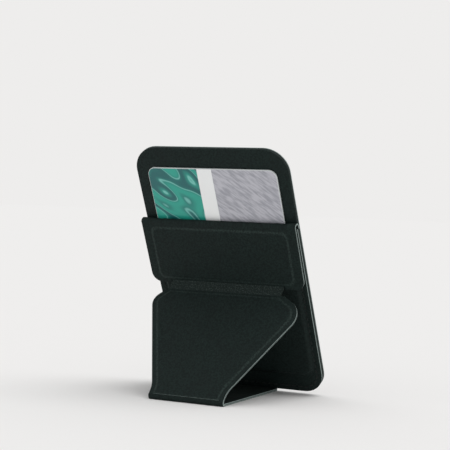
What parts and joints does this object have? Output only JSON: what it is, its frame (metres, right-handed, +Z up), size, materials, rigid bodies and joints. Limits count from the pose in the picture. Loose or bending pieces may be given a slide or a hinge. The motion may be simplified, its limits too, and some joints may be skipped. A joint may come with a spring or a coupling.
{
  "type": "card holder with fold-out stand",
  "caption": "Slim leather card holder with a magnetic back, a pocket that holds a card upright and a hinged panel, leg and base that fold out as a desk stand.",
  "frame": {"origin": "middle of the footprint, on the surface that the open stand rests on", "axes": "+X across the holder, parallel to its folds; -Y towards the side where the leg folds out; +Z up"},
  "size_m": [0.0652, 0.058, 0.0943],
  "materials": {
    "leather": "very dark green, fine grain, soft sheen, pale cut edges",
    "lining": "dark grey-green brushed lining",
    "hinge_cloth": "creased and speckled strip in the valley fold",
    "board": "thin stiff board, hidden",
    "magnet": "nickel-plated magnets and a steel shield, hidden",
    "card": "printed card in teal, white and grey"
  },
  "bodies": {
    "pad": {"alignment_magnet": "magnet", "back_cover": "leather", "card": "card", "inner_cover": "leather", "keeper_magnet_left": "magnet", "keeper_magnet_right": "magnet", "magnet_carrier": "board", "pocket_lining": "lining", "pocket_wall": "leather", "ring_magnet_01": "magnet", "ring_magnet_02": "magnet", "ring_magnet_03": "magnet", "ring_magnet_04": "magnet", "ring_magnet_05": "magnet", "ring_magnet_06": "magnet", "ring_magnet_07": "magnet", "ring_magnet_08": "magnet", "ring_magnet_09": "magnet", "ring_magnet_10": "magnet", "ring_magnet_11": "magnet", "ring_magnet_12": "magnet", "ring_magnet_13": "magnet", "ring_magnet_14": "magnet", "ring_magnet_15": "magnet", "ring_magnet_16": "magnet", "ring_shield": "magnet"},
    "upper_panel": {"top_fold": "leather", "upper_panel_skin": "leather", "upper_panel_board": "board", "upper_panel_lining": "lining"},
    "leg": {"neck_hinge": "hinge_cloth", "leg_skin": "leather", "leg_board": "board", "leg_lining": "lining", "foot_fold": "leather"},
    "base": {"base_skin": "leather", "base_board": "board", "base_lining": "lining", "base_magnet_left": "magnet", "base_magnet_right": "magnet"}
  },
  "joints": [
    {"name": "top_fold_hinge", "type": "hinge", "parent": "pad", "child": "upper_panel", "pos_m": [0, -0.00845, 0.06559], "axis": [-1, 0, 0], "range_deg": [0, 90]},
    {"name": "valley_hinge", "type": "hinge", "parent": "upper_panel", "child": "leg", "pos_m": [0, 0.0015, 0.04273], "axis": [-1, 0, 0], "range_deg": [-63, 0]},
    {"name": "foot_hinge", "type": "hinge", "parent": "leg", "child": "base", "pos_m": [0, -0.02757, 0.0014], "axis": [-1, 0, 0], "range_deg": [-53, 0]}
  ],
  "couplings": [
    {"joint": "valley_hinge", "follows": "top_fold_hinge", "ratio": -0.699},
    {"joint": "foot_hinge", "follows": "top_fold_hinge", "ratio": -0.588}
  ]
}
